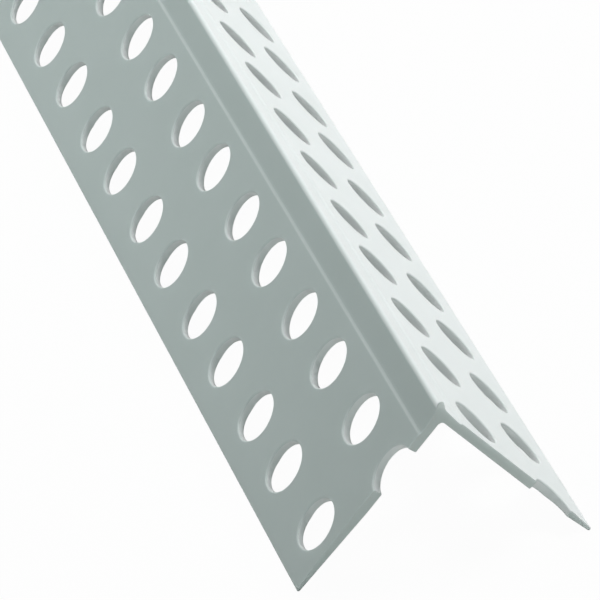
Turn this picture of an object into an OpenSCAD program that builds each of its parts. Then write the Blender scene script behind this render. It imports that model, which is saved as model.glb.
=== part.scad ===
// Corner bead for plasterboard: one L-shaped strip of stock with four rows of punched holes.
// It stands like a tent on its two free edges, with the ridge on top and along Y.
// The origin is on the floor below the ridge, midway along the strip.
// Flange sizes are measured from the corner line, where the two flanges' outer faces would meet.

/* [Strip] */
// Length of the strip along the ridge
length = 2500; // [1000:100:3000]
// Width of each flange, from the corner line to the free edge
flange_width = 25; // [24:0.5:32]
// Thickness of each flange, short of its feathered margin
thickness = 1.1; // [0.9:0.05:1.4]
// Angle between the outer faces of the two flanges
flange_angle = 79.4; // [76:0.2:90]
// Width of the feathered margin, where the inner face climbs towards the free edge
feather_width = 5; // [4:0.5:7]
// Thickness of the free edge, which is fully rounded
edge_thickness = 0.4; // [0.3:0.05:0.5]

/* [Near end] */
// Angle by which the snipped end leans back from the ridge across the left flange
snip_left = 2.9; // [1.5:0.1:4]
// Angle by which the snipped end leans back from the ridge across the right flange
snip_right = 5; // [3:0.1:6]
// Length of the corner at the left free edge that the snips left standing past their line
tail_left = 0.4; // [0:0.1:0.8]
// Length of the corner at the right free edge that the snips left standing past their line
tail_right = 1.8; // [1.2:0.1:2.2]

/* [Nose] */
// Distance from the corner line to the bottom of the crease that bounds the nose
crease_distance = 3.2; // [3:0.1:3.8]
// Depth of the crease below the flange's outer face
crease_depth = 0.15; // [0.1:0.05:0.3]
// Width of the ledge that climbs from the crease to the flange's outer face
ledge_width = 0.65; // [0.5:0.05:0.8]
// Angle at which the nose's side rises off the flange, from the crease to the ridge
nose_rise = 5; // [4:0.5:7]
// Radius of the ridge, at the top of the nose
ridge_radius = 0.5; // [0.4:0.05:0.7]
// Radius of the corner inside the bead, below the ridge
inside_radius = 0.5; // [0.3:0.1:0.8]

/* [Holes] */
// Diameter of every punched hole
hole_diameter = 6; // [4.5:0.1:6.5]
// Distance from the corner line to the row of holes beside the nose
nose_row = 8.5; // [8:0.1:9]
// Distance from the free edge to the row of holes beside it
edge_margin = 5.8; // [5.2:0.1:6.5]
// Feed of the strip at each stroke of the punch, which makes two holes in every row
stroke = 21.3; // [19:0.1:24]
// Distance along a row between the two holes of one stroke
pair_gap = 11.15; // [9:0.05:11.5]
// First hole of the left flange's edge row, from the ridge's near end
start_left_edge = 5.4; // [4.8:0.1:6.3]
// First hole of the left flange's nose row, from the ridge's near end
start_left_nose = 10.4; // [9.8:0.1:10.8]
// First hole of the right flange's nose row, from the ridge's near end
start_right_nose = 5.4; // [4.8:0.1:6.3]
// First hole of the right flange's edge row, which the near end cuts through
start_right_edge = 0.5; // [0.3:0.1:0.9]
// Least distance between a hole's rim and an end, unless the end cuts the hole
end_web = 0.4; // [0.3:0.1:0.6]

/* [Hidden] */
$fn = 64;
// Angle of each flange from the upright plane through the ridge
half_angle = flange_angle / 2;
// Angle of each side of the nose from that plane
nose_half_angle = half_angle - nose_rise;
// Radius of the rounded free edge
edge_radius = edge_thickness / 2;
// Height of the corner line above the floor
corner_z = (flange_width - edge_radius) * cos(half_angle) + edge_radius * sin(half_angle) + edge_radius;
// Distance from the corner line to the row of holes beside the free edge
edge_row = flange_width - edge_margin;
// Height of the nose's sharp apex above the corner line, before it is rounded
nose_apex = (crease_distance * sin(half_angle) - crease_depth * cos(half_angle)) / tan(nose_half_angle)
    - crease_distance * cos(half_angle) - crease_depth * sin(half_angle);
// Depth of the inner faces' sharp apex below the corner line, before it is rounded
inner_apex = thickness / sin(half_angle);
// Distance from the corner line at which a flange's inner face starts, below the nose
flange_start = thickness / tan(half_angle);
// Distance a hole's cylinder runs past both faces of the flange
hole_overrun = 0.4;
// Distance every other cut runs past the strip
end_overrun = 1;
// Strokes needed for the whole strip, with one before the near end
first_stroke = -1;
last_stroke = ceil(length / stroke);

// Runs a drawing of the section along the strip, with the corner line at the drawing's origin
module along_strip(overrun = 0) {
    translate([0, 0, corner_z])
        rotate([90, 0, 0])
            linear_extrude(height = length + 2 * overrun, center = true)
                children();
}

// Puts a flange's drawing in place: x runs to the free edge, y out of the outer face
module flange_plane(side) {
    mirror([side < 0 ? 1 : 0, 0])
        rotate(half_angle - 90)
            children();
}

// A prism with a pointed top at a height above the corner line, rounded to a radius
module roof(height, angle, radius, drop, overrun = 0) {
    tangent = radius / tan(angle);
    along_strip(overrun)
        translate([0, height - radius / sin(angle)])
            circle(r = radius);
    along_strip(overrun)
        translate([0, height])
            polygon([
                [tangent * sin(angle), -tangent * cos(angle)],
                [drop * tan(angle), -drop],
                [-drop * tan(angle), -drop],
                [-tangent * sin(angle), -tangent * cos(angle)]
            ]);
}

// One flange, from the ledge beside the nose to its feathered and rounded free edge
module flange(side) {
    straight_end = flange_width - edge_radius;
    ledge_top = crease_distance + ledge_width;
    along_strip()
        flange_plane(side)
            polygon([
                [ledge_top, 0],
                [straight_end, 0],
                [straight_end, -edge_thickness],
                [flange_width - feather_width, -thickness],
                [flange_start, -thickness],
                [ledge_top - 2 * ledge_width, -2 * crease_depth]
            ]);
    along_strip()
        flange_plane(side)
            translate([straight_end, -edge_radius])
                circle(r = edge_radius);
}

// Puts a cutter in place on a flange: x runs to the free edge, y along the strip, z out of the outer face
module on_flange(side) {
    mirror([side < 0 ? 1 : 0, 0, 0])
        translate([0, -length / 2, corner_z])
            rotate([0, 90 - half_angle, 0])
                children();
}

// A hole is punched if it reaches past an end's cut line, but not where the end would only nick it
// or leave a thin web beside it; the offset runs from the cut line to the hole's centre
function punched(offset) =
    offset > -hole_diameter / 2 && abs(abs(offset) - hole_diameter / 2) > end_web;

// One row of holes, at a distance from the corner line and a start from the ridge's near end
module hole_row(side, lean, distance, start) {
    for (index = [first_stroke : last_stroke])
        for (step = [0, pair_gap])
            let (y = start + index * stroke + step)
                if (punched(y * cos(lean) - distance * sin(lean)) && punched(length - y))
                    on_flange(side)
                        translate([distance, y, -thickness - hole_overrun])
                            cylinder(d = hole_diameter, h = thickness + 2 * hole_overrun);
}

// The waste that the snips take off one flange's near end: their line leans back from the ridge to the edge row,
// and from there it turns forward and leaves a corner standing at the free edge
module snip(side, lean, tail) {
    reach = flange_width + end_overrun;
    turn = tail / edge_margin;
    on_flange(side)
        translate([0, 0, -thickness - end_overrun])
            linear_extrude(height = thickness + 2 * end_overrun)
                polygon([
                    [-end_overrun, -flange_width],
                    [-end_overrun, -end_overrun * tan(lean)],
                    [edge_row, edge_row * tan(lean)],
                    [reach, reach * tan(lean) - (reach - edge_row) * turn],
                    [reach, -flange_width]
                ]);
}

// The strip before it is punched
module blank() {
    difference() {
        union() {
            for (side = [-1, 1])
                flange(side);
            roof(nose_apex, nose_half_angle, ridge_radius, nose_apex + inner_apex + crease_distance * cos(half_angle));
        }
        roof(-inner_apex, half_angle, inside_radius, corner_z, end_overrun);
    }
}

module bead() {
    color([0.88, 0.91, 0.9])
        difference() {
            blank();
            hole_row(-1, snip_left, edge_row, start_left_edge);
            hole_row(-1, snip_left, nose_row, start_left_nose);
            hole_row(1, snip_right, nose_row, start_right_nose);
            hole_row(1, snip_right, edge_row, start_right_edge);
            snip(-1, snip_left, tail_left);
            snip(1, snip_right, tail_right);
        }
}

bead();
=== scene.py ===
"""Looks of a punched PVC corner bead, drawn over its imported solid.

The bead is one strip of stock that stands like a tent on its two free edges, with its ridge along Y.
The strip is drawn again from the same sizes as the solid, with the rolled rims of its punched holes,
the marks that the snips left on its near end and the surface of extruded PVC.
"""

import logging
import math
from collections.abc import Callable
from dataclasses import dataclass, field
from enum import Enum

import bmesh
import bpy
import numpy as np
from mathutils import Matrix, Vector


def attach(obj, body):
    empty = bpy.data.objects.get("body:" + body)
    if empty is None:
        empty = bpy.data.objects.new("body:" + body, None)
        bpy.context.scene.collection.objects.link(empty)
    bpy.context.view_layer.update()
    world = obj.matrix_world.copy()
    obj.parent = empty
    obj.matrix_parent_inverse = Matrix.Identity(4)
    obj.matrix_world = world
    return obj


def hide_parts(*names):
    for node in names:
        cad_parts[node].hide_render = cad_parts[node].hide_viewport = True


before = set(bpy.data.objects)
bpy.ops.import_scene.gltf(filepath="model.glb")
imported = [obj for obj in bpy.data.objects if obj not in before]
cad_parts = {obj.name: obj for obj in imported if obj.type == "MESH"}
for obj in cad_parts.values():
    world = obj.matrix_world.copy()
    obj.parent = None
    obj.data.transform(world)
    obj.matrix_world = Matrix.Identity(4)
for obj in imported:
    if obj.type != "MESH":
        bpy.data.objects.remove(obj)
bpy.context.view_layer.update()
LOG = logging.getLogger("corner_bead")
MM = 0.001
# Two places along the strip that are nearer than this, in millimetres, count as one
SAME_PLACE = 1e-6
# Directions in which a lamp's long side can lie
ALONG_STRIP = (0.0, 1.0, 0.0)
ACROSS_STRIP = (1.0, 0.0, 0.0)
# Colours of the light: from the right the photo's light is nearly neutral, elsewhere it is cooler
WARMER_WHITE = "#FDFEFF"
COOLER_WHITE = "#EBFFFC"

# A spot of the section: its u and n, then the u and n of the direction in which the surface looks there
Spot = tuple[float, float, float, float]
# Points by number, each after its angle round a hole or its place along the strip
Chain = list[tuple[float, int]]
# A line along the strip: a function from the two edges of a bay to the points between them
Column = Callable[[float, float], list[int]]


class Side(Enum):
    """The two flanges, by the sign of X on which each lies."""

    LEFT = -1
    RIGHT = 1


class Sheet(Enum):
    """The two faces of a flange, by the sign of the direction in which each looks."""

    OUTER = 1
    INNER = -1


class Rail(Enum):
    """The lines along a flange at which two of the drawn surfaces meet."""

    NOSE = "nose"
    MIDDLE = "middle"
    EDGE = "edge"


class Finish(Enum):
    """The surfaces of the strip, by the number of the material that each wears."""

    EXTRUDED = 0
    SNIPPED = 1
    PUNCHED = 2


def linear(hex_colour: str) -> tuple[float, float, float, float]:
    """Turns an sRGB colour into linear light.

    Args:
        hex_colour: the colour as #RRGGBB.

    Returns:
        Linear red, green and blue, with an alpha of 1.
    """
    # The numbers of the curve are those of the sRGB standard
    parts = [int(hex_colour[i:i + 2], 16) / 255 for i in (1, 3, 5)]
    light = [c / 12.92 if c <= 0.04045 else ((c + 0.055) / 1.055) ** 2.4 for c in parts]
    return (light[0], light[1], light[2], 1.0)


def add_node(
    tree: bpy.types.NodeTree, kind: str, inputs: dict[str | int, object] | None = None, **settings: object
) -> bpy.types.Node:
    """Adds one node to a tree, with its settings and its links.

    Args:
        tree: the node tree.
        kind: the node's type name.
        inputs: for each input socket, by name or number, a value or the output socket to link.
        settings: properties of the node itself.

    Returns:
        The new node.
    """
    node = tree.nodes.new(kind)
    for name, value in settings.items():
        setattr(node, name, value)
    for key, value in (inputs or {}).items():
        if isinstance(value, bpy.types.NodeSocket):
            tree.links.new(value, node.inputs[key])
        else:
            node.inputs[key].default_value = value
    return node


@dataclass(frozen=True)
class Section:
    """The bead's cross-section, in millimetres.

    A place on a flange is given by u, the distance from the corner line towards the free edge, and n, the
    height over the outer face. The corner line is where the two outer faces would meet.
    """

    flange_width: float = 25.0
    thickness: float = 1.1
    flange_angle: float = 79.4
    feather_width: float = 5.0
    edge_thickness: float = 0.4
    crease_distance: float = 3.2
    crease_depth: float = 0.15
    ledge_width: float = 0.65
    nose_rise: float = 5.0
    ridge_radius: float = 0.5
    inside_radius: float = 0.5
    # The crease and the ledge are rounded here, where the solid leaves them sharp
    crease_fillet: float = 1.5
    ledge_climb: float = 0.45
    # Chords that stand for each round stretch
    arc_steps: int = 6
    fillet_steps: int = 2
    ledge_steps: int = 8
    # Points on the side of the nose, as shares of the way from the ridge to the crease
    flank_shares: tuple[float, ...] = (0.03, 0.06, 0.15, 0.35, 0.65)

    @property
    def half(self) -> float:
        """Angle of a flange from the upright plane through the ridge, in radians."""
        return math.radians(self.flange_angle / 2)

    @property
    def edge_radius(self) -> float:
        """Radius of the rounded free edge."""
        return self.edge_thickness / 2

    @property
    def corner_z(self) -> float:
        """Height of the corner line above the floor."""
        radius = self.edge_radius
        return (self.flange_width - radius) * math.cos(self.half) + radius * math.sin(self.half) + radius

    @property
    def straight_end(self) -> float:
        """Distance from the corner line at which the free edge starts to round over."""
        return self.flange_width - self.edge_radius

    @property
    def feather_start(self) -> float:
        """Distance from the corner line at which the inner face starts to climb towards the free edge."""
        return self.flange_width - self.feather_width

    def wall(self, u: float) -> float:
        """Thickness of the flange at a distance u from the corner line."""
        share = min(1.0, max(0.0, (u - self.feather_start) / (self.straight_end - self.feather_start)))
        return self.thickness - (self.thickness - self.edge_thickness) * share

    def inner_normal(self, u: float) -> tuple[float, float]:
        """Finds the direction in which the inner face looks.

        Args:
            u: the distance from the corner line.

        Returns:
            The parts of the direction along u and n.
        """
        if u <= self.feather_start:
            return (0.0, -1.0)
        slope = math.atan2(self.thickness - self.edge_thickness, self.straight_end - self.feather_start)
        return (math.sin(slope), -math.cos(slope))

    def place(self, side: Side, u: float, n: float, y: float) -> np.ndarray:
        """The point at (u, n) on a flange and y along the strip, in the part's frame."""
        c, s = math.cos(self.half), math.sin(self.half)
        return np.array([side.value * (u * s + n * c), y, self.corner_z - u * c + n * s])

    def turn(self, side: Side, du: float, dn: float, dy: float = 0.0) -> np.ndarray:
        """A direction given along u, n and y, in the part's frame."""
        c, s = math.cos(self.half), math.sin(self.half)
        return np.array([side.value * (du * s + dn * c), dy, -du * c + dn * s])

    def from_corner(self, x: float, z: float) -> tuple[float, float]:
        """The (u, n) of a point given by its offsets from the corner line."""
        c, s = math.cos(self.half), math.sin(self.half)
        return (x * s - z * c, x * c + z * s)

    def arc(self, centre_z: float, radius: float, turn: float, inward: bool) -> list[Spot]:
        """Draws an arc over the ridge plane, from the plane itself to one side.

        Args:
            centre_z: the arc's centre, measured up from the corner line.
            radius: the arc's radius.
            turn: the angle from straight up to the arc's last point, in radians.
            inward: whether the surface looks towards the arc's centre.

        Returns:
            The spots of the arc.
        """
        sign = -1 if inward else 1
        spots = []
        for k in range(self.arc_steps + 1):
            a = turn * k / self.arc_steps
            u, n = self.from_corner(radius * math.sin(a), centre_z + radius * math.cos(a))
            du, dn = self.from_corner(math.sin(a), math.cos(a))
            spots.append((u, n, sign * du, sign * dn))
        return spots

    def fillet(self, corner: tuple[float, float], before: float, after: float) -> list[Spot]:
        """Draws the arc that rounds the crease between two straight runs of the outer face.

        Args:
            corner: the (u, n) at which the runs would meet.
            before: the slope angle of the run that ends there, in radians.
            after: the slope angle of the run that starts there, in radians.

        Returns:
            The spots of the arc.
        """
        radius = self.crease_fillet
        reach = radius * abs(math.tan((after - before) / 2))
        start = (corner[0] - reach * math.cos(before), corner[1] - reach * math.sin(before))
        bend = 1 if after > before else -1
        centre = (start[0] - bend * radius * math.sin(before), start[1] + bend * radius * math.cos(before))
        spots = []
        for k in range(self.fillet_steps + 1):
            a = before + (after - before) * k / self.fillet_steps
            u = centre[0] + bend * radius * math.sin(a)
            n = centre[1] - bend * radius * math.cos(a)
            spots.append((u, n, -math.sin(a), math.cos(a)))
        return spots

    def ledge(self) -> list[Spot]:
        """Draws the ledge, which climbs from the crease to the flange in a smooth step.

        Returns:
            The spots of the ledge.
        """
        start = self.crease_distance + self.ledge_width - self.ledge_climb
        steepest = self.crease_depth * math.pi / (2 * self.ledge_climb)
        spots = []
        for k in range(self.ledge_steps + 1):
            a = math.pi * k / self.ledge_steps
            slope = math.atan(steepest * math.sin(a))
            u = start + self.ledge_climb * k / self.ledge_steps
            n = -self.crease_depth * (1 + math.cos(a)) / 2
            spots.append((u, n, -math.sin(slope), math.cos(slope)))
        return spots

    def nose(self) -> list[Spot]:
        """Draws the outer face from the ridge to the top of the ledge.

        Returns:
            The spots, from the ridge outwards.
        """
        rise = math.radians(self.nose_rise)
        side_angle = self.half - rise
        x = self.crease_distance * math.sin(self.half) - self.crease_depth * math.cos(self.half)
        z = -self.crease_distance * math.cos(self.half) - self.crease_depth * math.sin(self.half)
        apex = z + x / math.tan(side_angle)
        centre = apex - self.ridge_radius / math.sin(side_angle)
        ridge = self.arc(centre, self.ridge_radius, math.pi / 2 - side_angle, inward=False)
        foot = self.fillet((self.crease_distance, -self.crease_depth), -rise, 0.0)
        last = np.array(ridge[-1])
        flank = [tuple(last + (np.array(foot[0]) - last) * share) for share in self.flank_shares]
        return ridge + flank + foot + self.ledge()

    def hollow(self) -> list[Spot]:
        """Draws the rounded corner below the ridge.

        Returns:
            The spots, from the ridge plane to the inner face.
        """
        apex = -self.thickness / math.sin(self.half)
        centre = apex - self.inside_radius / math.sin(self.half)
        return self.arc(centre, self.inside_radius, math.pi / 2 - self.half, inward=True)

    def free_edge(self) -> list[Spot]:
        """Draws the rounded free edge.

        Returns:
            The spots, from the outer face to the inner one.
        """
        spots = []
        for k in range(self.arc_steps + 1):
            a = math.pi * k / self.arc_steps
            u = self.straight_end + self.edge_radius * math.sin(a)
            n = -self.edge_radius + self.edge_radius * math.cos(a)
            spots.append((u, n, math.sin(a), math.cos(a)))
        return spots


@dataclass(frozen=True)
class PunchedRow:
    """One row of punched holes along a flange, in millimetres."""

    side: Side
    distance: float
    start: float
    stroke: float = 21.3
    pair_gap: float = 11.15
    diameter: float = 6.0
    end_web: float = 0.4

    def offset_kept(self, offset: float) -> bool:
        """Whether a hole whose centre lies at an offset inside an end's cut line is punched."""
        radius = self.diameter / 2
        return offset > -radius and abs(abs(offset) - radius) > self.end_web

    def centres(self, length: float, lean: float) -> list[float]:
        """Finds the places of the holes along the row.

        Args:
            length: length of the strip.
            lean: angle by which the near end leans back on this flange, in radians.

        Returns:
            Distances from the ridge's near end, in rising order.
        """
        found = []
        for index in range(-1, math.ceil(length / self.stroke) + 1):
            for step in (0.0, self.pair_gap):
                y = self.start + index * self.stroke + step
                near = y * math.cos(lean) - self.distance * math.sin(lean)
                if self.offset_kept(near) and self.offset_kept(length - y):
                    found.append(y)
        return sorted(found)


@dataclass(frozen=True)
class HoleRim:
    """How a punched hole is drawn, in millimetres.

    The punch rolled the rim over, drew the wall in a little and broke the edge where it came out.
    """

    roll_steps: int
    points: int
    roll: float = 0.22
    drag: float = 0.13
    burr: float = 0.08
    # Radial and outward parts of the direction in which the broken edge looks
    burr_looks: tuple[float, float] = (-0.3, -0.95)
    # Fewest points round what an end has left of a hole
    least_points: int = 8

    def rings(self) -> list[tuple[float, float, bool, float, float]]:
        """Draws the hole from the outer face to the inner one, as rings.

        Returns:
            For each ring its growth over the hole's radius, a depth, whether the depth is measured up from
            the inner face, and the radial and outward parts of the direction in which it looks.
        """
        rolled = []
        for k in range(self.roll_steps + 1):
            a = math.pi / 2 * k / self.roll_steps
            grow = self.roll * (1 - math.sin(a)) - self.drag
            rolled.append((grow, self.roll * (1 - math.cos(a)), False, -math.sin(a), math.cos(a)))
        wall_foot = (-self.drag, self.burr, True, -1.0, 0.0)
        broken_edge = (self.burr - self.drag, 0.0, True, *self.burr_looks)
        return [*rolled, wall_foot, broken_edge]


@dataclass(frozen=True)
class EndCut:
    """The cut line of the nearer end as a hole's centre sees it. Angles round the hole start at away.

    Inside is how far the centre lies within the cut line, and inside_tail the same for the line past the edge
    row, which turns from the first by bend. Away is the direction (u, y) straight away from the end.
    """

    inside: float
    inside_tail: float
    bend: float
    away: np.ndarray

    def ray(self, angle: float) -> np.ndarray:
        """The direction (u, y) in the flange at an angle round the hole."""
        across = np.array([-self.away[1], self.away[0]])
        return self.away * math.cos(angle) + across * math.sin(angle)

    def angles(self, reach: float, count: int, whole: bool) -> np.ndarray:
        """Spreads the points of one ring.

        Args:
            reach: the ring's radius.
            count: the number of points.
            whole: whether the end leaves the whole hole.

        Returns:
            The points' angles, in rising order.
        """
        if whole:
            return np.arange(count) * 2 * math.pi / count - math.pi
        towards_nose = math.acos(max(-1.0, -self.inside / reach))
        towards_edge = math.acos(max(-1.0, -self.inside_tail / reach)) + self.bend
        return np.linspace(-towards_edge, towards_nose, count)


class MeshDraft:
    """A mesh in the making: points in millimetres with the direction in which each looks, and faces."""

    def __init__(self) -> None:
        """Starts with no points and no faces."""
        self.points: list[np.ndarray] = []
        self.normals: list[np.ndarray] = []
        self.faces: list[tuple[int, ...]] = []
        self.smooth: list[bool] = []
        self.finishes: list[int] = []

    def point(self, place: np.ndarray, normal: np.ndarray) -> int:
        """Adds a point.

        Args:
            place: where it lies.
            normal: the direction in which the surface looks there.

        Returns:
            The point's number.
        """
        self.points.append(place)
        self.normals.append(normal)
        return len(self.points) - 1

    def face(self, loop: list[int], smooth: bool = True, finish: Finish = Finish.EXTRUDED) -> None:
        """Adds a face, unless it has collapsed to a line.

        Args:
            loop: the numbers of the points round it.
            smooth: whether it is shaded from its points' directions.
            finish: the surface that it wears.
        """
        kept = [p for i, p in enumerate(loop) if p != loop[i - 1]]
        if len(set(kept)) > 2:
            self.faces.append(tuple(kept))
            self.smooth.append(smooth)
            self.finishes.append(finish.value)

    def zip_chains(self, outer: Chain, inner: Chain, closed: bool, smooth: bool) -> None:
        """Fills the face between two chains of points that run round one centre.

        Args:
            outer: the outer chain, by angle.
            inner: the inner chain, by angle.
            closed: whether the chains are whole rings.
            smooth: whether the faces are shaded from their points' directions.
        """
        outer, inner = sorted(outer), sorted(inner)
        if closed:
            outer.append((outer[0][0] + 2 * math.pi, outer[0][1]))
            inner.append((inner[0][0] + 2 * math.pi, inner[0][1]))
        i = j = 0
        while i < len(outer) - 1 or j < len(inner) - 1:
            step_outer = j == len(inner) - 1
            if not step_outer and i < len(outer) - 1:
                step_outer = outer[i][0] + outer[i + 1][0] <= inner[j][0] + inner[j + 1][0]
            if step_outer:
                self.face([outer[i][1], outer[i + 1][1], inner[j][1]], smooth)
                i += 1
            else:
                self.face([outer[i][1], inner[j + 1][1], inner[j][1]], smooth)
                j += 1

    def piece(self, name: str) -> tuple[bpy.types.Object, int]:
        """Makes the object, closes its two cut ends and shades it.

        Args:
            name: the piece's name.

        Returns:
            The object, and the number of faces that close its ends.
        """
        mesh = bpy.data.meshes.new(name)
        mesh.from_pydata(np.array(self.points) * MM, [], self.faces)
        mesh.polygons.foreach_set("use_smooth", self.smooth)
        mesh.polygons.foreach_set("material_index", self.finishes)
        looks = mesh.attributes.new("looks", "FLOAT_VECTOR", "POINT")
        looks.data.foreach_set("vector", np.array(self.normals, np.float32).ravel())
        shape = bmesh.new()
        shape.from_mesh(mesh)
        rims = [e for e in shape.edges if e.is_boundary]
        caps = bmesh.ops.holes_fill(shape, edges=rims, sides=0)["faces"]
        for cap in caps:
            cap.material_index = Finish.SNIPPED.value
            cap.smooth = False
        bmesh.ops.recalc_face_normals(shape, faces=shape.faces)
        open_edges = sum(not e.is_manifold for e in shape.edges)
        shape.to_mesh(mesh)
        shape.free()
        self.shade(mesh)
        if open_edges:
            LOG.warning("%s has %d open edges", name, open_edges)
        piece = bpy.data.objects.new(name, mesh)
        bpy.context.scene.collection.objects.link(piece)
        return piece, len(caps)

    @staticmethod
    def shade(mesh: bpy.types.Mesh) -> None:
        """Gives round surfaces the direction of their points and leaves flat faces flat.

        Args:
            mesh: the mesh, with each point's direction in an attribute that is then removed.
        """
        corners = np.empty((len(mesh.loops), 3), np.float32)
        mesh.corner_normals.foreach_get("vector", corners.ravel())
        counts = np.empty(len(mesh.polygons), np.int32)
        mesh.polygons.foreach_get("loop_total", counts)
        smooth = np.empty(len(mesh.polygons), bool)
        mesh.polygons.foreach_get("use_smooth", smooth)
        vertex = np.empty(len(mesh.loops), np.int32)
        mesh.loops.foreach_get("vertex_index", vertex)
        looks = np.empty((len(mesh.vertices), 3), np.float32)
        mesh.attributes["looks"].data.foreach_get("vector", looks.ravel())
        of_smooth = np.repeat(smooth, counts)
        corners[of_smooth] = looks[vertex[of_smooth]]
        mesh.normals_split_custom_set(corners.tolist())
        mesh.attributes.remove(mesh.attributes["looks"])


@dataclass(frozen=True, kw_only=True)
class Pvc:
    """Rigid PVC, whatever made its surface: light sinks a little way in, which softens rims and shadows."""

    name: str
    colour: str
    roughness: float
    roughness_swing: float
    # Strength and height of the pattern that stands on the surface
    relief: float
    relief_mm: float
    ior: float = 1.53
    # Share of the light that sinks in, and how far it goes
    glow: float = 0.7
    glow_mm: float = 0.6

    def plain(self) -> bpy.types.Material:
        """Makes the material without its pattern.

        Returns:
            The material.
        """
        made = bpy.data.materials.new(self.name)
        made.use_nodes = True
        sockets = made.node_tree.nodes["Principled BSDF"].inputs
        sockets["Base Color"].default_value = linear(self.colour)
        sockets["IOR"].default_value = self.ior
        sockets["Subsurface Weight"].default_value = self.glow
        sockets["Subsurface Radius"].default_value = (1.0, 1.0, 1.0)
        sockets["Subsurface Scale"].default_value = self.glow_mm * MM
        return made

    def mark(self, tree: bpy.types.NodeTree, pattern: bpy.types.NodeSocket) -> None:
        """Lets a pattern vary the sheen and raise the surface.

        Args:
            tree: the material's node tree.
            pattern: the pattern's output.
        """
        sockets = tree.nodes["Principled BSDF"].inputs
        low, high = self.roughness - self.roughness_swing, self.roughness + self.roughness_swing
        sheen = add_node(tree, "ShaderNodeMapRange", {"Value": pattern, "To Min": low, "To Max": high})
        tree.links.new(sheen.outputs[0], sockets["Roughness"])
        height = self.relief_mm * MM
        raised = add_node(
            tree, "ShaderNodeBump", {"Height": pattern, "Strength": self.relief, "Distance": height}
        )
        tree.links.new(raised.outputs[0], sockets["Normal"])


@dataclass(frozen=True, kw_only=True)
class ExtrudedPvc(Pvc):
    """White rigid PVC as the die left it: a soft sheen that the eye follows along the strip."""

    name: str = "rigid_pvc_extruded"
    colour: str = "#E4E8E7"
    roughness: float = 0.6
    roughness_swing: float = 0.05
    relief: float = 0.25
    relief_mm: float = 0.004
    # Real die lines lie a few hundredths apart; they are drawn coarser, so that they show as a faint grain
    line_spacing_mm: float = 0.4
    line_length_mm: float = 60.0
    line_detail: float = 3.0
    # Cooling leaves the white faintly uneven, a few millimetres at a time, which keeps it from looking flat
    cloudy: str = "#DEE3E1"
    cloud_mm: float = 9.0
    cloud_detail: float = 2.0

    def material(self) -> bpy.types.Material:
        """Makes the material.

        Returns:
            The material, with its lines and its clouds.
        """
        made = self.plain()
        tree = made.node_tree
        where = add_node(tree, "ShaderNodeTexCoord").outputs["Object"]
        per_cloud = 1 / (self.cloud_mm * MM)
        clouds = add_node(
            tree, "ShaderNodeTexNoise", {"Vector": where, "Scale": per_cloud, "Detail": self.cloud_detail}
        )
        # The colours of a Mix node go by number: 6 and 7 in, and 2 out
        white = add_node(
            tree,
            "ShaderNodeMix",
            {"Factor": clouds.outputs[0], 6: linear(self.colour), 7: linear(self.cloudy)},
            data_type="RGBA",
        )
        tree.links.new(white.outputs[2], tree.nodes["Principled BSDF"].inputs["Base Color"])
        per_line, per_run = 1 / (self.line_spacing_mm * MM), 1 / (self.line_length_mm * MM)
        drawn_out = add_node(
            tree, "ShaderNodeMapping", {"Vector": where, "Scale": (per_line, per_run, per_line)}
        ).outputs[0]
        lines = add_node(
            tree, "ShaderNodeTexNoise", {"Vector": drawn_out, "Scale": 1.0, "Detail": self.line_detail}
        )
        self.mark(tree, lines.outputs[0])
        return made


@dataclass(frozen=True, kw_only=True)
class ShearedPvc(Pvc):
    """The same PVC where a blade or a punch sheared it: duller and finely torn, so that it looks dry."""

    roughness: float = 0.65
    roughness_swing: float = 0.08
    relief: float = 0.4
    relief_mm: float = 0.02
    # Real tear marks are finer still; they are drawn coarser, so that they show on the cut
    mark_mm: float = 0.25
    mark_detail: float = 3.0

    def material(self) -> bpy.types.Material:
        """Makes the material.

        Returns:
            The material, with its tear marks.
        """
        made = self.plain()
        tree = made.node_tree
        where = add_node(tree, "ShaderNodeTexCoord").outputs["Object"]
        per_mark = 1 / (self.mark_mm * MM)
        marks = add_node(
            tree, "ShaderNodeTexNoise", {"Vector": where, "Scale": per_mark, "Detail": self.mark_detail}
        )
        self.mark(tree, marks.outputs[0])
        return made


@dataclass(frozen=True)
class SnipBurr:
    """The thin lip that the snips turned up where they left the ridge, in millimetres."""

    # Height of the lip's middle above the floor, and how far the snips pushed it
    middle_z: float = 19.2
    push: tuple[float, float, float] = (0.05, 0.0, 0.78)
    # How far the lip reaches across the ridge, up and down from its middle, and along the strip
    spread: float = 0.44
    depth: float = 0.65
    run: float = 0.22
    # How suddenly it ends in each of those directions
    spread_power: int = 6
    depth_power: int = 4
    run_power: int = 8

    def raised(self, place: np.ndarray, near_end: float) -> np.ndarray:
        """Moves a point as far as the lip lifts it.

        Args:
            place: the point before the snips came.
            near_end: the y of the ridge's near end.

        Returns:
            The point after them.
        """
        across, along, up = place - np.array([0.0, near_end, self.middle_z])
        fall = (across / self.spread) ** self.spread_power
        fall += (up / self.depth) ** self.depth_power
        fall += (along / self.run) ** self.run_power
        return place + np.array(self.push) * math.exp(-fall)


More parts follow.
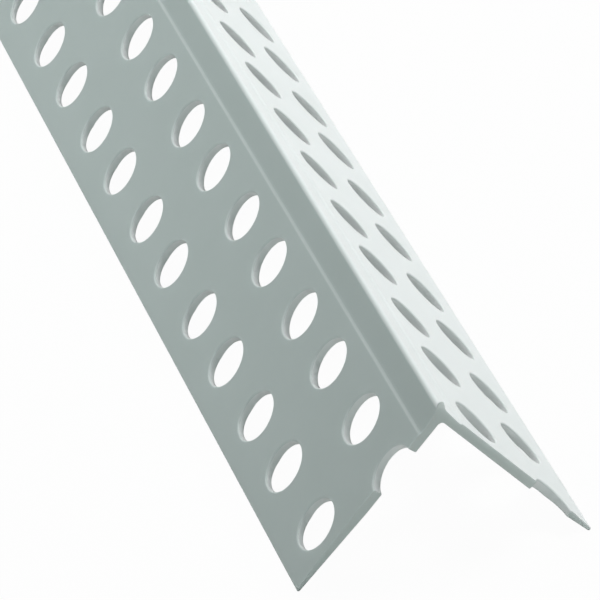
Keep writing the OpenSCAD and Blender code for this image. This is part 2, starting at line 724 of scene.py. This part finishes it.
@dataclass
class CornerBead:
    """The whole strip: two perforated flanges and the nose between them. Sizes are in millimetres."""

    section: Section = field(default_factory=Section)
    length: float = 2500.0
    snip_left: float = 2.9
    snip_right: float = 5.0
    tail_left: float = 0.4
    tail_right: float = 1.8
    nose_row: float = 8.5
    edge_margin: float = 5.8
    start_left_nose: float = 10.4
    start_left_edge: float = 5.4
    start_right_nose: float = 5.4
    start_right_edge: float = 0.5
    burr: SnipBurr = SnipBurr()
    # Holes within this distance of the near end are in the photo and get more points
    seen_length: float = 165.0
    near_rim: HoleRim = HoleRim(roll_steps=4, points=56)
    far_rim: HoleRim = HoleRim(roll_steps=1, points=14)
    # The bays into which the plain bands are divided along the strip: narrow by the near end, then even
    end_bays: tuple[float, ...] = (0.0, 0.12, 0.18, 0.24, 0.3, 0.5, 1.0, 2.0, 4.0, 7.0, 12.0, 20.0)
    bay: float = 40.0
    # Distance from the near end over which the bays' edges turn square to the strip
    lean_fades: float = 20.0
    draft: MeshDraft = field(default_factory=MeshDraft)
    rails: dict[tuple[Side, Rail, Sheet], Chain] = field(default_factory=dict)

    @property
    def edge_row(self) -> float:
        """Distance from the corner line to the row of holes beside the free edge."""
        return self.section.flange_width - self.edge_margin

    @property
    def middle(self) -> float:
        """Distance from the corner line to the line midway between the two rows."""
        return (self.nose_row + self.edge_row) / 2

    def rows(self, side: Side) -> tuple[PunchedRow, PunchedRow]:
        """Describes the two rows of holes of a flange.

        Args:
            side: the flange.

        Returns:
            The nose row and the edge row.
        """
        nose, edge = self.start_left_nose, self.start_left_edge
        if side is Side.RIGHT:
            nose, edge = self.start_right_nose, self.start_right_edge
        return PunchedRow(side, self.nose_row, nose), PunchedRow(side, self.edge_row, edge)

    def lean(self, side: Side) -> float:
        """Angle by which the near end leans back on a flange, in radians."""
        return math.radians(self.snip_left if side is Side.LEFT else self.snip_right)

    def tail_lean(self, side: Side) -> float:
        """Angle of the near end past the edge row, where the snips left a corner standing, in radians."""
        tail = self.tail_left if side is Side.LEFT else self.tail_right
        return math.atan(math.tan(self.lean(side)) - tail / self.edge_margin)

    def cut(self, side: Side, u: float) -> float:
        """How far the near end has leaned back at a distance from the corner line."""
        past = max(0.0, u - self.edge_row)
        return (max(0.0, u) - past) * math.tan(self.lean(side)) + past * math.tan(self.tail_lean(side))

    def bays(self) -> list[float]:
        """Places along the strip where the lengthwise bands are divided."""
        regular = np.arange(self.end_bays[-1] + self.bay, self.length - self.bay / 2, self.bay)
        return [*self.end_bays, *regular.tolist(), self.length]

    def station(self, side: Side, u: float, bay: float) -> float:
        """The y of a bay's edge at a distance from the corner line, which follows the leaning end near it."""
        return bay + self.cut(side, u) * max(0.0, 1 - bay / self.lean_fades)

    def put(self, side: Side, spot: Spot, y: float) -> int:
        """Adds a point of the section to the mesh.

        Args:
            side: the flange.
            spot: the spot of the section.
            y: the distance from the ridge's near end.

        Returns:
            The point's number.
        """
        u, n, du, dn = spot
        near_end = -self.length / 2
        place = self.section.place(side, u, n, near_end + y)
        return self.draft.point(self.burr.raised(place, near_end), self.section.turn(side, du, dn))

    def walls(self, row: PunchedRow) -> list[float]:
        """The y of the lines between neighbouring holes of a row."""
        centres = row.centres(self.length, self.lean(row.side))
        return [(a + b) / 2 for a, b in zip(centres, centres[1:])]

    def rail_distance(self, rail: Rail, sheet: Sheet) -> float:
        """Distance from the corner line to a rail on one face of a flange."""
        nose = self.section.nose() if sheet is Sheet.OUTER else self.section.hollow()
        return {Rail.NOSE: nose[-1][0], Rail.MIDDLE: self.middle, Rail.EDGE: self.section.straight_end}[rail]

    def lay_rail(self, side: Side, rail: Rail, sheet: Sheet) -> Chain:
        """Adds the points of a rail, one wherever a surface on either side of it is divided.

        Args:
            side: the flange.
            rail: the rail.
            sheet: the flange's face.

        Returns:
            The points by their y, in rising order.
        """
        u = self.rail_distance(rail, sheet)
        spot = (u, 0.0, 0.0, 1.0)
        if sheet is Sheet.INNER:
            spot = (u, -self.section.wall(u), *self.section.inner_normal(u))
        nose, edge = self.rows(side)
        marks = {self.cut(side, u), self.length}
        marks.update(self.walls(nose) if rail is not Rail.EDGE else [])
        marks.update(self.walls(edge) if rail is not Rail.NOSE else [])
        marks.update(self.station(side, u, b) for b in self.bays() if rail is not Rail.MIDDLE)
        kept: list[float] = []
        for y in sorted(marks):
            if not kept or y - kept[-1] > SAME_PLACE:
                kept.append(y)
        return [(y, self.put(side, spot, y)) for y in kept]

    def rail_span(self, side: Side, rail: Rail, sheet: Sheet, low: float, high: float) -> list[int]:
        """Finds the points of a rail in a stretch of the strip. The rail is laid once and then shared.

        Args:
            side: the flange.
            rail: the rail.
            sheet: the flange's face.
            low: the y at which the stretch starts.
            high: the y at which it ends.

        Returns:
            The points, both ends included.
        """
        key = (side, rail, sheet)
        if key not in self.rails:
            self.rails[key] = self.lay_rail(side, rail, sheet)
        return [p for y, p in self.rails[key] if low - SAME_PLACE <= y <= high + SAME_PLACE]

    def rail_column(self, side: Side, rail: Rail, sheet: Sheet) -> Column:
        """Takes a rail as a column of a band.

        Args:
            side: the flange.
            rail: the rail.
            sheet: the flange's face.

        Returns:
            The column.
        """
        u = self.rail_distance(rail, sheet)

        def span(low: float, high: float) -> list[int]:
            """The rail's points between two edges of a bay."""
            return self.rail_span(side, rail, sheet, self.station(side, u, low), self.station(side, u, high))

        return span

    def column(self, side: Side, spot: Spot) -> Column:
        """Adds a column of points along the strip at one spot of the section, and returns it."""
        made = {b: self.put(side, spot, self.station(side, spot[0], b)) for b in self.bays()}
        return lambda low, high: [made[low], made[high]]

    def band(self, columns: list[Column]) -> None:
        """Fills the surface across neighbouring columns, bay by bay.

        Args:
            columns: the columns, in order across the band.
        """
        edges = self.bays()
        for low, high in zip(edges, edges[1:]):
            for a, b in zip(columns, columns[1:]):
                self.draft.face(a(low, high) + b(low, high)[::-1])

    def lengthwise(self) -> None:
        """Builds the nose, the corner below it and the two free edges, which no hole breaks."""
        for spots, sheet in ((self.section.nose(), Sheet.OUTER), (self.section.hollow(), Sheet.INNER)):
            left = [self.column(Side.LEFT, spot) for spot in spots[1:-1]]
            right = [self.column(Side.RIGHT, spot) for spot in spots[:-1]]
            first = self.rail_column(Side.LEFT, Rail.NOSE, sheet)
            last = self.rail_column(Side.RIGHT, Rail.NOSE, sheet)
            self.band([first, *left[::-1], *right, last])
        for side in Side:
            round_edge = [self.column(side, spot) for spot in self.section.free_edge()[1:-1]]
            first = self.rail_column(side, Rail.EDGE, Sheet.OUTER)
            last = self.rail_column(side, Rail.EDGE, Sheet.INNER)
            self.band([first, *round_edge, last])

    def end_cut(self, row: PunchedRow, y: float) -> EndCut:
        """Finds the cut line of the end that is nearer to a hole.

        Args:
            row: the row of holes.
            y: the hole's place along the row.

        Returns:
            The cut line as the hole's centre sees it.
        """
        lean = self.lean(row.side)
        near = y * math.cos(lean) - row.distance * math.sin(lean)
        far = self.length - y
        if far <= near:
            return EndCut(far, far, 0.0, np.array([0.0, -1.0]))
        away = np.array([-math.sin(lean), math.cos(lean)])
        if row.distance < self.edge_row:
            return EndCut(near, near, 0.0, away)
        bend = lean - self.tail_lean(row.side)
        return EndCut(near, near * math.cos(lean - bend) / math.cos(lean), bend, away)

    def hole(self, row: PunchedRow, y: float) -> tuple[Chain, Chain, bool]:
        """Builds the rolled rim and the wall of one hole, or of the part of it that an end has left.

        Args:
            row: the row of holes.
            y: the hole's place along the row.

        Returns:
            The rim's points on the outer and on the inner face by angle, and whether the hole is whole.
        """
        radius = row.diameter / 2
        rim = self.near_rim if y < self.seen_length else self.far_rim
        cut = self.end_cut(row, y)
        whole = cut.inside > radius + rim.roll
        count = rim.points
        if not whole:
            count = max(rim.least_points, round(rim.points * math.acos(-cut.inside / radius) / math.pi))
        rings: list[Chain] = []
        for grow, depth, from_inner, radial, outward in rim.rings():
            reach = radius + grow
            ring: Chain = []
            for angle in cut.angles(reach, count, whole):
                du, dy = cut.ray(angle)
                u = row.distance + reach * du
                n = depth - self.section.wall(u) if from_inner else -depth
                place = self.section.place(row.side, u, n, y + reach * dy - self.length / 2)
                looks = self.section.turn(row.side, radial * du, outward, radial * dy)
                ring.append((float(angle), self.draft.point(place, looks)))
            rings.append(ring)
        for number, (upper, lower) in enumerate(zip(rings, rings[1:])):
            finish = Finish.EXTRUDED if number < rim.roll_steps else Finish.PUNCHED
            pairs = [(a, b) for (_, a), (_, b) in zip(upper, lower)]
            following = pairs[1:] + pairs[:1] if whole else pairs[1:]
            for (a, b), (c, d) in zip(pairs, following):
                self.draft.face([a, c, d, b], finish=finish)
        return rings[0], rings[-1], whole

    def bearing(self, row: PunchedRow, y: float, point: int) -> float:
        """Finds the angle at which a hole's centre sees a point of its flange.

        Args:
            row: the row of holes.
            y: the hole's place along the row.
            point: the point's number.

        Returns:
            The angle from the direction away from the nearer end, in radians.
        """
        away = self.end_cut(row, y).away
        x, along, z = self.draft.points[point]
        u, _ = self.section.from_corner(row.side.value * x, z - self.section.corner_z)
        offset = np.array([u - row.distance, along + self.length / 2 - y])
        return math.atan2(away[0] * offset[1] - away[1] * offset[0], float(away @ offset))

    def perforated(self, row: PunchedRow, inner_rail: Rail, outer_rail: Rail) -> int:
        """Builds a strip of a flange, both faces, with one row of holes.

        Args:
            row: the row of holes.
            inner_rail: the rail towards the nose.
            outer_rail: the rail towards the free edge.

        Returns:
            The number of holes.
        """
        centres = row.centres(self.length, self.lean(row.side))
        lines = [-math.inf, *self.walls(row), math.inf]
        for y, low, high in zip(centres, lines, lines[1:]):
            top, bottom, whole = self.hole(row, y)
            for sheet, rim in ((Sheet.OUTER, top), (Sheet.INNER, bottom)):
                outline = self.rail_span(row.side, inner_rail, sheet, low, high)
                outline += self.rail_span(row.side, outer_rail, sheet, low, high)
                chain = [(self.bearing(row, y, p), p) for p in outline]
                flat = sheet is Sheet.OUTER or outer_rail is Rail.MIDDLE
                self.draft.zip_chains(chain, rim, closed=whole, smooth=not flat)
        return len(centres)

    def build(self) -> bpy.types.Object:
        """Builds the strip's mesh.

        Returns:
            The strip, as one piece.
        """
        self.lengthwise()
        holes = 0
        for side in Side:
            nose, edge = self.rows(side)
            holes += self.perforated(nose, Rail.NOSE, Rail.MIDDLE)
            holes += self.perforated(edge, Rail.MIDDLE, Rail.EDGE)
        piece, caps = self.draft.piece("corner_bead")
        LOG.info("corner_bead: %d holes, %d end faces, %d faces", holes, caps, len(piece.data.polygons))
        return piece

    def dress(self, piece: bpy.types.Object) -> None:
        """Gives the strip its finishes, in the order of Finish, and ties it to the part.

        Args:
            piece: the strip.
        """
        # The walls of the holes are painted paler than the snipped ends: painted light, for the light that
        # reaches the walls around the holes
        finishes = {
            Finish.EXTRUDED: ExtrudedPvc(),
            Finish.SNIPPED: ShearedPvc(name="rigid_pvc_snipped", colour="#DEE3E1"),
            # Painted light: the near-white colour makes the hole walls look more brightly lit than the
            # flanges' own white
            Finish.PUNCHED: ShearedPvc(name="rigid_pvc_punched_painted_light", colour="#FAFCFB"),
        }
        for finish in Finish:
            piece.data.materials.append(finishes[finish].material())
        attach(piece, "root")
        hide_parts("bead")
        LOG.info("corner_bead: dressed with %d finishes", len(finishes))


@dataclass(frozen=True)
class Softbox:
    """A soft lamp. Places and sizes are in metres, and power is in watts."""

    name: str
    centre: tuple[float, float, float]
    faces: tuple[float, float, float]
    along: tuple[float, float, float]
    length: float
    width: float
    power: float
    colour: str

    def hang(self) -> None:
        """Hangs the lamp so that it faces its point, with its long side along the given line."""
        lamp = bpy.data.lights.new(self.name, "AREA")
        lamp.shape = "RECTANGLE"
        lamp.size = self.width
        lamp.size_y = self.length
        lamp.energy = self.power
        lamp.color = linear(self.colour)[:3]
        hung = bpy.data.objects.new(self.name, lamp)
        bpy.context.scene.collection.objects.link(hung)
        back = (Vector(self.centre) - Vector(self.faces)).normalized()
        across = Vector(self.along).cross(back).normalized()
        turn = Matrix((across, back.cross(across), back)).transposed()
        hung.matrix_world = Matrix.Translation(self.centre) @ turn.to_4x4()
        hung.visible_camera = False


@dataclass(frozen=True)
class Studio:
    """A pale floor, an even surround and four softboxes. Places and sizes are in metres.

    The key runs along the right of the strip and skims the left flange. The near box lights the right flange
    where the key starts, the fill runs close along the left, and the front box lights the cut end.
    """

    floor_size: float = 60.0
    floor_colour: str = "#D8D8D6"
    floor_shows_white: float = 0.97
    surround_strength: float = 0.02
    surround_colour: str = COOLER_WHITE
    background: str = "#FFFFFF"
    boxes: tuple[Softbox, ...] = (
        Softbox(
            name="key_softbox", centre=(0.54, 0.75, 0.75), faces=(0.0, 0.75, 0.0), along=ALONG_STRIP,
            length=4.0, width=0.3, power=17.7, colour=WARMER_WHITE,
        ),
        Softbox(
            name="near_softbox", centre=(0.292, -1.125, 0.416), faces=(0.0, -1.125, 0.01), along=ALONG_STRIP,
            length=0.2, width=0.2, power=1.26, colour=WARMER_WHITE,
        ),
        Softbox(
            name="fill_softbox", centre=(-0.138, 0.05, 0.11), faces=(0.0, 0.05, 0.01), along=ALONG_STRIP,
            length=2.6, width=0.1, power=0.81, colour=COOLER_WHITE,
        ),
        Softbox(
            name="front_softbox", centre=(-0.15, -2.55, 0.6), faces=(0.0, -1.25, 0.0), along=ACROSS_STRIP,
            length=0.8, width=0.8, power=4.3, colour=COOLER_WHITE,
        ),
    )

    @staticmethod
    def shown_ray(tree: bpy.types.NodeTree, share: float) -> bpy.types.NodeSocket:
        """Tells rays that show the background from those that light the part.

        Args:
            tree: the node tree.
            share: the factor for a ray that shows the background.

        Returns:
            The factor's socket, which is 0 for a ray that lights the part.
        """
        path = add_node(tree, "ShaderNodeLightPath").outputs
        shown = path["Is Camera Ray"]
        for kind in ("Is Glossy Ray", "Is Transmission Ray"):
            either = add_node(tree, "ShaderNodeMath", {0: shown, 1: path[kind]}, operation="MAXIMUM")
            shown = either.outputs[0]
        return add_node(tree, "ShaderNodeMath", {0: shown, 1: share}, operation="MULTIPLY").outputs[0]

    def floor(self) -> None:
        """Lays the floor, which looks nearly white and keeps a trace of the shadow."""
        half = self.floor_size / 2
        corners = [(-half, -half, 0), (half, -half, 0), (half, half, 0), (-half, half, 0)]
        mesh = bpy.data.meshes.new("floor")
        mesh.from_pydata(corners, [], [(0, 1, 2, 3)])
        laid = bpy.data.objects.new("floor", mesh)
        bpy.context.scene.collection.objects.link(laid)
        paper = bpy.data.materials.new("matt_paper")
        paper.use_nodes = True
        tree = paper.node_tree
        tree.nodes.remove(tree.nodes["Principled BSDF"])
        matt = add_node(tree, "ShaderNodeBsdfDiffuse", {"Color": linear(self.floor_colour)})
        white = add_node(tree, "ShaderNodeEmission", {"Color": linear(self.background), "Strength": 1.0})
        shown = self.shown_ray(tree, self.floor_shows_white)
        mixed = add_node(tree, "ShaderNodeMixShader", {0: shown, 1: matt.outputs[0], 2: white.outputs[0]})
        tree.links.new(mixed.outputs[0], tree.nodes["Material Output"].inputs["Surface"])
        mesh.materials.append(paper)

    def surround(self) -> None:
        """Surrounds the part with even light that shows as white."""
        world = bpy.data.worlds.new("surround")
        world.use_nodes = True
        tree = world.node_tree
        light = tree.nodes["Background"]
        light.inputs["Color"].default_value = linear(self.surround_colour)
        light.inputs["Strength"].default_value = self.surround_strength
        white = add_node(tree, "ShaderNodeBackground", {"Color": linear(self.background), "Strength": 1.0})
        shown = self.shown_ray(tree, 1.0)
        mixed = add_node(tree, "ShaderNodeMixShader", {0: shown, 1: light.outputs[0], 2: white.outputs[0]})
        tree.links.new(mixed.outputs[0], tree.nodes["World Output"].inputs["Surface"])
        bpy.context.scene.world = world

    def build(self) -> None:
        """Lays the floor, sets the surround and hangs the lamps."""
        self.floor()
        self.surround()
        for box in self.boxes:
            box.hang()
        bpy.context.scene.view_settings.view_transform = "Standard"
        LOG.info("studio: floor and %d softboxes", len(self.boxes))


@dataclass(frozen=True)
class PhotoCamera:
    """The camera at the photo's viewing angle, near the strip's near end. Places are in millimetres."""

    place: tuple[float, float, float] = (-128.23, -1659.82, 307.1)
    aim: tuple[float, float, float] = (-15.16, -1253.81, 38.08)
    # Degrees by which the picture is turned
    roll: float = -3.14
    lens: float = 307.4
    sensor: float = 36.0
    # Nearest and furthest that the camera sees
    clip: tuple[float, float] = (10.0, 200000.0)

    def build(self) -> None:
        """Places the camera and makes it the scene's own."""
        data = bpy.data.cameras.new("photo_camera")
        data.lens = self.lens
        data.sensor_width = self.sensor
        data.clip_start = self.clip[0] * MM
        data.clip_end = self.clip[1] * MM
        camera = bpy.data.objects.new("photo_camera", data)
        bpy.context.scene.collection.objects.link(camera)
        forward = (Vector(self.aim) - Vector(self.place)).normalized()
        level = forward.cross(Vector((0, 0, 1))).normalized()
        right = Matrix.Rotation(math.radians(-self.roll), 3, forward) @ level
        turn = Matrix((right, right.cross(forward), -forward)).transposed()
        camera.matrix_world = Matrix.Translation(Vector(self.place) * MM) @ turn.to_4x4()
        bpy.context.scene.camera = camera
        LOG.info("photo_camera: placed")


def main() -> None:
    """Builds the camera, the studio and the bead."""
    logging.basicConfig(level=logging.INFO, format="%(name)s %(message)s")
    PhotoCamera().build()
    Studio().build()
    bead = CornerBead()
    piece = bead.build()
    bead.dress(piece)


if __name__ == "__main__":
    main()
